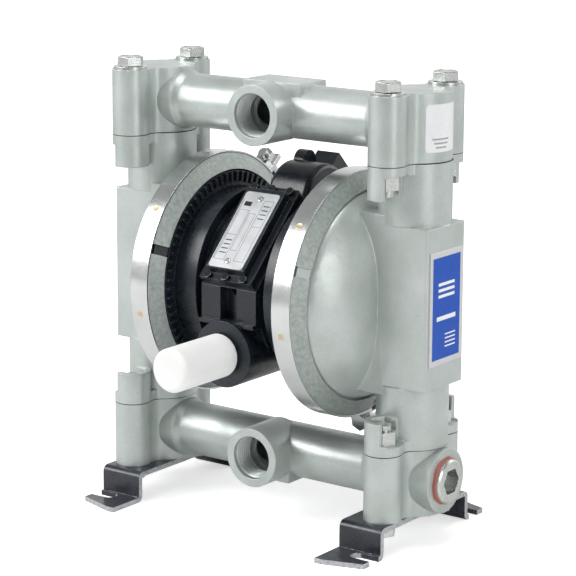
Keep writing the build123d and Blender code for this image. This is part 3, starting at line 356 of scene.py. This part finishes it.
def rating_plate(name):
    """Bare metal plate with plain boxes and rules, and no writing."""
    n = Finish(name)
    x, y, z = n.above_axis()
    up_slope = n.math("ADD", n.math("MULTIPLY", n.math("ADD", y, z), 2**-0.5), 1.6 * MM)
    thin = 0.22
    lines = []
    for left, right, low, high in ((-10.5, -3.5, -22, 14), (-2.5, 2.0, -15, 12), (3.5, 10.5, -22, 22)):
        middle, half = ((left + right) / 2, (low + high) / 2), ((right - left) / 2, (high - low) / 2)
        lines.append(frame_of(n, x, up_slope, middle, half, thin))
    rules = [(-11.4, 0, 0.18, 22), (-7, -4, 3.4, thin / 2), (7, 3, 3.4, thin / 2), (-7, 18.5, 2.6, 1.6)]
    rules += [(-7, -8 - 3 * k, 2.4, 0.35) for k in range(4)]
    rules += [(7, 18 - 3 * k, 2.2, 0.35) for k in range(4)]
    lines += [rectangle(n, x, up_slope, (a, b), (c, d)) for a, b, c, d in rules]
    metal = n.mix(n.noise(scale=90), (0.78, 0.79, 0.81), (0.62, 0.64, 0.66))
    n.set(Base_Color=n.mix(union(n, lines), metal, (0.03, 0.03, 0.035)), Metallic=0.55)
    n.set(Roughness=n.spread(n.noise(scale=150), 0.3, 0.45))
    n.set(Normal=n.bump(n.noise(scale=900, detail=2), 0.02 * MM, n.bevel(0.2 * MM), strength=0.6))
    return n.material


def sticker(name):
    """White paper label with a few plain grey bars."""
    n = Finish(name)
    _, y, z = n.above_axis()
    bars = union(n, [rectangle(n, y, z, (-5, 98 - 2.4 * k), (6 - k, 0.45)) for k in range(3)])
    paper = n.mix(n.spread(n.noise(scale=300, detail=2)), (0.82, 0.83, 0.84), (0.87, 0.87, 0.88))
    n.set(Base_Color=n.mix(bars, paper, (0.35, 0.36, 0.37)))
    n.set(Roughness=n.spread(n.noise(scale=90), 0.3, 0.45))
    n.set(Normal=n.bump(n.noise(scale=600, detail=2), 0.02 * MM, n.bevel(0.2 * MM), strength=0.6))
    return n.material


CAST = cast_metal("cast_aluminium", (0.58, 0.625, 0.605), (0.46, 0.51, 0.485), rough=0.36)
BLACK = moulded("black_polymer", (0.006, 0.009, 0.014), rough=0.27, blue=0.015)
RUBBER = moulded("black_rubber", (0.018, 0.018, 0.018), rough=0.6)
SEALANT = moulded("thread_sealant", (0.34, 0.10, 0.07), 0.4, grain_scale=500, grain_depth=0.2, rub=0.1)
WHITE = moulded("white_polymer", (0.90, 0.90, 0.89), 0.75, grain_scale=1500, grain_depth=0.12, rub=0.0)
ZINC = worked_metal("zinc_steel", (0.60, 0.62, 0.60), rough=0.27)
DARK_STEEL = worked_metal("black_oxide_steel", (0.035, 0.038, 0.042), 0.34, tint=(0.02, 0.02, 0.02))
STRAW = worked_metal("weld_tint", (0.62, 0.50, 0.28), rough=0.32, tint=(0.35, 0.27, 0.14))
PAPER = sticker("sticker_white")

FINISH = {
    "cast_aluminium": CAST,
    "black_polymer": BLACK,
    "white_polymer": WHITE,
    "stainless": clamp_metal("stainless"),
    "zinc_steel": ZINC,
    "machined_steel": worked_metal("machined_steel", (0.70, 0.70, 0.70), rough=0.24, turned=True),
    "painted_steel": painted_sheet("painted_steel"),
    "black_rubber": RUBBER,
    "acetal": moulded("acetal", (0.72, 0.71, 0.66), rough=0.45, rub=0.1),
    "ball_rubber": moulded("ball_rubber", (0.62, 0.60, 0.55), rough=0.5, rub=0.1),
    "label_blue": side_plate("label_blue"),
}
OWN_FINISH = {"nameplate": rating_plate("rating_plate"), "valve_cover_screws": DARK_STEEL}
for entry in frame["record"]["subparts"]:
    node = frame["nodes"][entry["node"]]
    node.data.materials.clear()
    node.data.materials.append(OWN_FINISH.get(entry["node"], FINISH[entry["material_slot"]]))


# ---------------------------------------------------------------- mesh helpers
def new_object(name, bm):
    """Object with the mesh of a bmesh in millimetres."""
    bmesh.ops.scale(bm, vec=(MM, MM, MM), verts=bm.verts)
    bmesh.ops.recalc_face_normals(bm, faces=bm.faces)
    mesh = bpy.data.meshes.new(name)
    bm.to_mesh(mesh)
    bm.free()
    made = bpy.data.objects.new(name, mesh)
    bpy.context.scene.collection.objects.link(made)
    return made


def piece(name, bm, finish, body=ROOT, smooth=30.0):
    """Turn a bmesh in millimetres into one piece that rides on a body, or on none where body is None."""
    made = new_object(name, bm)
    mesh = made.data
    mesh.materials.append(finish)
    for left_over in ("custom_normal", "sharp_face", "material_index"):
        if left_over in mesh.attributes:
            mesh.attributes.remove(mesh.attributes[left_over])
    for polygon in mesh.polygons:
        polygon.use_smooth = True
    mesh.set_sharp_from_angle(angle=math.radians(smooth))
    if body:
        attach(made, body)
    return made


def ring(bm, steps, spot):
    """Closed ring of vertices, each at the spot that belongs to its angle."""
    return [bm.verts.new(spot(2 * math.pi * k / steps)) for k in range(steps)]


def ring_surface(bm, rows):
    """Join rows of vertices, each a closed ring, into a skin."""
    for low, high in zip(rows, rows[1:]):
        for k in range(len(low)):
            bm.faces.new((low[k], low[k - 1], high[k - 1], high[k]))


def frame_at(origin, out, side=None):
    """Matrix whose local Z is out, and whose local X is side."""
    out = Vector(out).normalized()
    side = Vector(side) if side else out.orthogonal()
    side = (side - out * side.dot(out)).normalized()
    turn = Matrix((side, out.cross(side), out)).transposed()
    return Matrix.Translation(Vector(origin)) @ turn.to_4x4()


def thread(bm, where, radius, depth, pitch, length):
    """Helical ridge inside a bore of the given radius, along local -Z from its mouth."""
    steps, taper = 48, 1 / 32
    crest_half = 0.08           # half of the crest's width, as a share of the pitch
    turns = int(length / pitch)
    rows = []
    for k in range(turns * steps + 1):
        angle = 2 * math.pi * k / steps
        along = -pitch * k / steps
        fade = min(1.0, k / steps, (turns * steps - k) / steps)
        base = radius + taper * along
        crest = base - depth * max(fade, 0.02)
        row = []
        profile = (base, 0.0), (crest, 0.5 - crest_half), (crest, 0.5 + crest_half), (base, 1.0)
        for reach, share in profile:
            spot = Vector((reach * math.cos(angle), reach * math.sin(angle), along - share * pitch))
            row.append(bm.verts.new(where @ spot))
        rows.append(row)
    for low, high in zip(rows, rows[1:]):
        for k in range(3):
            bm.faces.new((low[k], low[k + 1], high[k + 1], high[k]))


# ---------------------------------------------------------------- pipe threads
PORT_MOUTH_Y = -31.2
INLET_T, INLET_N = 84.0, 11.0       # air inlet's face and middle, along and across the 45 degree slope
INLET_SETBACK = 0.6                 # how far inside the mouth the thread starts

bm = bmesh.new()
for side in (1, -1):
    mouth = frame_at((0, PORT_MOUTH_Y, AXIS_Z + TUBE_Z * side), (0, -1, 0))
    thread(bm, mouth, radius=13.19, depth=1.15, pitch=1.814, length=16)
piece("port_threads", bm, CAST)

inlet_mouth = (0, (INLET_T - INLET_N) / 2**0.5, AXIS_Z + (INLET_T + INLET_N) / 2**0.5)
mouth = frame_at(inlet_mouth, (0, 1, 1)) @ Matrix.Translation((0, 0, -INLET_SETBACK))
bm = bmesh.new()
thread(bm, mouth, radius=5.89, depth=0.7, pitch=1.411, length=12)
piece("air_inlet_threads", bm, BLACK)

# ---------------------------------------------------------------- spot welds on the clamps
WELD_ANGLES = {CLAMP_X: (40.7, -10.4, 98, 152, 206), -CLAMP_X: (39.2, -11.6, 83.3, 190, 232)}
WELD_SECTION = ((2.2, -0.05), (2.0, 0.14), (1.45, 0.16), (1.1, 0.04), (0.5, 0.06), (0.02, 0.09))


def weld_spot(where, reach, lift):
    """Places round one ring of a weld, lying on the round strap."""

    def spot(spin):
        x, y = reach * math.cos(spin), reach * math.sin(spin)
        sag = STRAP_RADIUS - math.sqrt(STRAP_RADIUS**2 - y * y)
        return where @ Vector((x, y, lift - sag))

    return spot


bm = bmesh.new()
for middle, angles in WELD_ANGLES.items():
    for angle in angles:
        turn = math.radians(angle)
        out = Vector((0, -math.cos(turn), math.sin(turn)))
        where = frame_at(Vector((middle, 0, AXIS_Z)) + out * STRAP_RADIUS, out, (1, 0, 0))
        ring_surface(bm, [ring(bm, 24, weld_spot(where, reach, lift)) for reach, lift in WELD_SECTION])
piece("clamp_spot_welds", bm, STRAW)

# ---------------------------------------------------------------- sealant at the end plug
PLUG_FACE_X = 118.0
PLUG_RADIUS = 13.12
SEALANT_SECTION = ((PLUG_RADIUS, 1.9), (13.7, 1.5), (14.1, 0.8), (14.2, 0.02), (PLUG_RADIUS, 0.02))


def sealant_spot(where, reach, along):
    """Places round one ring of the sealant, with an uneven outer edge."""

    def spot(spin):
        wave = 0.25 * math.sin(5 * spin) + 0.15 * math.sin(11 * spin + 1)
        away = reach + wave * (reach - PLUG_RADIUS)
        return where @ Vector((away * math.cos(spin), away * math.sin(spin), along))

    return spot


bm = bmesh.new()
where = frame_at((PLUG_FACE_X, 0, AXIS_Z - TUBE_Z), (1, 0, 0))
ring_surface(bm, [ring(bm, 72, sealant_spot(where, reach, along)) for reach, along in SEALANT_SECTION])
piece("plug_sealant", bm, SEALANT)

# ---------------------------------------------------------------- collars where the tubes meet the ends
TUBE_SKIN, COLLAR_RADIUS, COLLAR_END = 16.42, 18.4, 84.4
COLLAR_SECTION = (
    (68.0, TUBE_SKIN), (69.5, 16.7), (71.0, 17.5), (72.5, 18.2),
    (74.0, COLLAR_RADIUS), (COLLAR_END, COLLAR_RADIUS), (COLLAR_END, TUBE_SKIN),
)


def collar_spot(x, reach, height):
    return lambda spin: (x, reach * math.cos(spin), height + reach * math.sin(spin))


bm = bmesh.new()
for height in (AXIS_Z + TUBE_Z, AXIS_Z - TUBE_Z):
    for side in (1, -1):
        spots = [collar_spot(side * x, reach, height) for x, reach in COLLAR_SECTION]
        ring_surface(bm, [ring(bm, 96, spot) for spot in spots])
piece("tube_collars", bm, CAST, smooth=50)

# ---------------------------------------------------------------- top bolts with chamfered heads
BOLT_Y = 30.0
HEAD_HEIGHT, HALF_FLATS, SHANK_RADIUS = 6.0, 7.15, 4.7
CHAMFER_SLOPE = 0.55
shank_end, head_top = (corner[2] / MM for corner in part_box("top_bolts"))
under_head = head_top - HEAD_HEIGHT
round_below = (
    (shank_end, 0.05), (shank_end, 3.9), (shank_end + 0.8, SHANK_RADIUS), (under_head, SHANK_RADIUS),
)
bearing = ((under_head, 6.6), (under_head + 0.5, 6.9))
crown = ((head_top, 6.8), (head_top, 6.0), (head_top - 0.25, 5.7), (head_top - 0.25, 0.05))


def round_spot(x, y, height, reach):
    return lambda spin: (x + reach * math.sin(spin), y + reach * math.cos(spin), height)


def hex_spot(x, y, height, slope):
    """Places round one ring of the hexagon, lower towards its corners by the chamfer's slope."""

    def spot(spin):
        from_flat = (spin + math.pi / 6) % (math.pi / 3) - math.pi / 6
        reach = HALF_FLATS / math.cos(from_flat)
        drop = slope * (reach - HALF_FLATS)
        return (x + reach * math.sin(spin), y + reach * math.cos(spin), height - drop)

    return spot


bm = bmesh.new()
for x in (COLUMN_X, -COLUMN_X):
    for y in (BOLT_Y, -BOLT_Y):
        spots = [round_spot(x, y, *pair) for pair in round_below + bearing]
        spots += [hex_spot(x, y, under_head + 0.5, 0.0), hex_spot(x, y, head_top - 0.2, CHAMFER_SLOPE)]
        spots += [round_spot(x, y, *pair) for pair in crown]
        ring_surface(bm, [ring(bm, 72, spot) for spot in spots])
made = piece("top_bolts_turned", bm, ZINC, smooth=25)
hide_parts("top_bolts")

# ---------------------------------------------------------------- blank sticker on the right front end
STICKER_RADIUS, STICKER_CORNER = 20.82, 2.0
STICKER_FROM, STICKER_TO = -43.0, 35.0      # degrees round the column, from +X
STICKER_LOW, STICKER_HIGH = 90.5, 118.0     # above the shaft
STICKER_STEPS = 40

bm = bmesh.new()
rows = []
for k in range(STICKER_STEPS + 1):
    degrees = STICKER_FROM + (STICKER_TO - STICKER_FROM) * k / STICKER_STEPS
    from_end = math.radians(min(degrees - STICKER_FROM, STICKER_TO - degrees)) * STICKER_RADIUS
    short = min(STICKER_CORNER, max(0.0, STICKER_CORNER - from_end))
    inset = STICKER_CORNER - math.sqrt(STICKER_CORNER**2 - short**2)
    turn = math.radians(degrees)
    x, y = COLUMN_X + STICKER_RADIUS * math.cos(turn), STICKER_RADIUS * math.sin(turn)
    rows.append([bm.verts.new((x, y, AXIS_Z + z)) for z in (STICKER_LOW + inset, STICKER_HIGH - inset)])
for before, after in zip(rows, rows[1:]):
    bm.faces.new((before[0], after[0], after[1], before[1]))
piece("corner_sticker", bm, PAPER)

# ---------------------------------------------------------------- fluid covers with flat fronts
FLAT_Y = 20.0               # flat fronts, either side of the middle
BLOCK_START_X = 92.0        # where the added block starts, inside the column
BLOCK_FACE_X = 115.6        # its flat outer face
BLOCK_HALF_HEIGHT = 47.5
BLOCK_EDGE = 1.8            # rounding of its upright outer edges
SHAVE_WIDTH, SHAVE_DEPTH = 16.0, 3.0
WELD_DISTANCE = 0.002       # corners of the CAD mesh nearer than this are one


def added_block(side):
    """Upright block with rounded outer edges, from inside the column to the flat outer face."""
    outline = [(side * BLOCK_START_X, -FLAT_Y)]
    for corner, start in ((-1, -90), (1, 0)):
        middle_x, middle_y = side * (BLOCK_FACE_X - BLOCK_EDGE), corner * (FLAT_Y - BLOCK_EDGE)
        for k in range(9):
            turn = math.radians(start + 90 * k / 8)
            x = middle_x + side * BLOCK_EDGE * math.cos(turn)
            outline.append((x, middle_y + BLOCK_EDGE * math.sin(turn)))
    outline.append((side * BLOCK_START_X, FLAT_Y))
    bm = bmesh.new()
    levels = (AXIS_Z - BLOCK_HALF_HEIGHT, AXIS_Z + BLOCK_HALF_HEIGHT)
    rows = [[bm.verts.new((x, y, z)) for x, y in outline] for z in levels]
    for row in rows:
        bm.faces.new(row)
    ring_surface(bm, rows)
    return new_object("tool", bm)


def shaved_boxes(side):
    """Boxes over what stands out of the flat fronts between the two ends of the block."""
    bm = bmesh.new()
    size = Matrix.Diagonal((SHAVE_WIDTH, SHAVE_DEPTH, 2 * BLOCK_HALF_HEIGHT, 1))
    for y in (FLAT_Y + SHAVE_DEPTH / 2, -FLAT_Y - SHAVE_DEPTH / 2):
        bmesh.ops.create_cube(bm, size=1, matrix=Matrix.Translation((side * COLUMN_X, y, AXIS_Z)) @ size)
    return new_object("tool", bm)


def in_millimetres(mesh, weld=0.0):
    bm = bmesh.new()
    bm.from_mesh(mesh)
    if weld:
        bmesh.ops.remove_doubles(bm, verts=bm.verts, dist=weld)
    bmesh.ops.scale(bm, vec=(1 / MM, 1 / MM, 1 / MM), verts=bm.verts)
    return bm


for side, name in ((1, "fluid_cover_right"), (-1, "fluid_cover_left")):
    whole = new_object("tool", in_millimetres(frame["nodes"][name].data, weld=WELD_DISTANCE * MM))
    tools = {"DIFFERENCE": shaved_boxes(side), "UNION": added_block(side)}
    for operation, tool in tools.items():
        step = whole.modifiers.new(operation, "BOOLEAN")
        step.operation, step.object, step.solver = operation, tool, "EXACT"
    bpy.context.view_layer.update()
    result = whole.evaluated_get(bpy.context.evaluated_depsgraph_get())
    bm = in_millimetres(result.to_mesh())
    for spent in (whole, *tools.values()):
        bpy.data.objects.remove(spent)
    made = piece(name + "_cast", bm, CAST)
    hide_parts(name)

# ---------------------------------------------------------------- diaphragms in sectors
RIM, BEAD, HUB, HOLE = 69.0, 59.0, 28.0, 5.05   # radii
WEB_HALF, BEAD_HALF, WEB_RISE = 1.0, 1.5, 2.5
SECTORS, STEPS, WEB_STEPS = 16, 6, 12

web = []
for k in range(WEB_STEPS + 1):
    share = k / WEB_STEPS
    web.append((WEB_RISE * math.sin(math.pi * share), HUB + (BEAD - HUB) * share))
section = [(-WEB_HALF, HUB), (-BEAD_HALF, HUB), (-BEAD_HALF, HOLE), (BEAD_HALF, HOLE), (BEAD_HALF, HUB)]
section += [(rise + WEB_HALF, reach) for rise, reach in web]
section += [(BEAD_HALF, BEAD), (BEAD_HALF, RIM), (-BEAD_HALF, RIM), (-BEAD_HALF, BEAD)]
section += [(rise - WEB_HALF, reach) for rise, reach in reversed(web[1:])]


def section_at(bm, side, turn):
    """The diaphragm's section as a ring of vertices, turned about the shaft."""
    row = []
    for along, reach in section:
        spot = (side * (CLAMP_X + along), reach * math.cos(turn), AXIS_Z + reach * math.sin(turn))
        row.append(bm.verts.new(spot))
    return row


for side, name in ((1, "diaphragm_right"), (-1, "diaphragm_left")):
    for sector in range(SECTORS):
        bm = bmesh.new()
        turns = [2 * math.pi * (sector + step / STEPS) / SECTORS for step in range(STEPS + 1)]
        ring_surface(bm, [section_at(bm, side, turn) for turn in turns])
        made = piece(f"{name}_sector_{sector + 1:02d}", bm, RUBBER, body=None)
        middle = 2 * math.pi * (sector + 0.5) / SECTORS
        out = Vector((0, math.cos(middle), math.sin(middle)))
        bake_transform(made)
        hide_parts(name)

# ---------------------------------------------------------------- floor
FLOOR_HALF = 3.0            # metres
NEAR, FAR = 0.3, 0.9        # metres from the middle of the pump
NEAR_GLOW, FAR_GLOW = 0.55, 1.0

floor_mesh = bpy.data.meshes.new("floor")
bm = bmesh.new()
for x, y in ((-1, -1), (1, -1), (1, 1), (-1, 1)):
    bm.verts.new((x * FLOOR_HALF, y * FLOOR_HALF, 0))
bm.faces.new(bm.verts)
bm.to_mesh(floor_mesh)
bm.free()
floor = bpy.data.objects.new("floor", floor_mesh)
bpy.context.scene.collection.objects.link(floor)
n = Finish("studio_floor")
n.set(Base_Color=n.mix(n.noise(scale=8, detail=2), (0.93, 0.93, 0.93), (0.95, 0.95, 0.95)))
n.set(Roughness=n.spread(n.noise(scale=40, detail=2), 0.85, 0.95))
x, y, _ = n.split(n.place)
glow = n.range(n.reach(x, y), NEAR, FAR, NEAR_GLOW, FAR_GLOW)
n.set(Emission_Color=(1.0, 1.0, 1.0), Emission_Strength=n.math("MULTIPLY", n.seen_directly(), glow))
floor_mesh.materials.append(n.material)


# ---------------------------------------------------------------- lamps and world
def area_light(name, place, size, power, target=(0, 0, 0.14)):
    data = bpy.data.lights.new(name, "AREA")
    data.shape = "RECTANGLE"
    data.size, data.size_y = size
    data.energy = power
    lamp = bpy.data.objects.new(name, data)
    lamp.location = place
    lamp.rotation_mode = "QUATERNION"
    lamp.rotation_quaternion = (Vector(target) - Vector(place)).to_track_quat("-Z", "Y")
    bpy.context.scene.collection.objects.link(lamp)


area_light("key", place=(-0.9, -1.0, 0.9), size=(0.7, 0.9), power=13)
area_light("fill", place=(1.5, -0.5, 0.6), size=(0.6, 1.0), power=7)
area_light("top", place=(0.1, -0.2, 1.5), size=(0.9, 0.7), power=9)
area_light("back", place=(0.9, 1.3, 0.7), size=(1.0, 0.8), power=5, target=(0, 0, 0.16))

# The object is lit by a plain grey world. Metal sees it white all round the horizon, and dimmer
# overhead and on the side of the photograph's camera. The camera sees plain white.
FRONT_WAY = (0.59, -0.81, 0.0)
FRONT_DIM, OVERHEAD_DIM, PLAIN_GREY = 0.22, 0.35, 0.30

world = bpy.data.worlds.new("studio")
bpy.context.scene.world = world
world.use_nodes = True
background = world.node_tree.nodes["Background"]
w = Nodes(world.node_tree, coordinates="Generated")
front = w.range(w.dot(w.place, FRONT_WAY), -0.1, 0.75, 1.0, FRONT_DIM)
above = w.range(w.split(w.place)[2], 0.25, 0.75, 1.0, OVERHEAD_DIM)
glossy = w.new("LightPath").outputs["Is Glossy Ray"]
lit = w.between(glossy, PLAIN_GREY, w.math("MULTIPLY", front, above))
w.link(w.between(w.seen_directly(), lit, 1.0), background.inputs["Strength"])
background.inputs["Color"].default_value = (1.0, 1.0, 1.0, 1)

# ---------------------------------------------------------------- camera
FOCAL_PIXELS, IMAGE_PIXELS, SENSOR = 2301.75, 576, 36
AZIMUTH, ELEVATION, ROLL = 36.14, 11.25, 0.30
CAMERA_FROM_AXIS = (803.34, -1095.7, 300.86)

cam_data = bpy.data.cameras.new("camera")
camera = bpy.data.objects.new("camera", cam_data)
bpy.context.scene.collection.objects.link(camera)
cam_data.lens = FOCAL_PIXELS * SENSOR / IMAGE_PIXELS
cam_data.shift_y = -0.1
cam_data.clip_start, cam_data.clip_end = 0.05, 20
azimuth, elevation, roll = (math.radians(angle) for angle in (AZIMUTH, ELEVATION, ROLL))
level = math.cos(elevation)
back = Vector((math.sin(azimuth) * level, -math.cos(azimuth) * level, math.sin(elevation)))
upright = (-back).to_track_quat("-Z", "Y")
camera.rotation_mode = "QUATERNION"
camera.rotation_quaternion = upright @ Matrix.Rotation(roll, 3, "Z").to_quaternion()
camera.location = (Vector(CAMERA_FROM_AXIS) + Vector((0, 0, AXIS_Z))) * MM
bpy.context.scene.camera = camera
bpy.context.scene.view_settings.view_transform = "Standard"
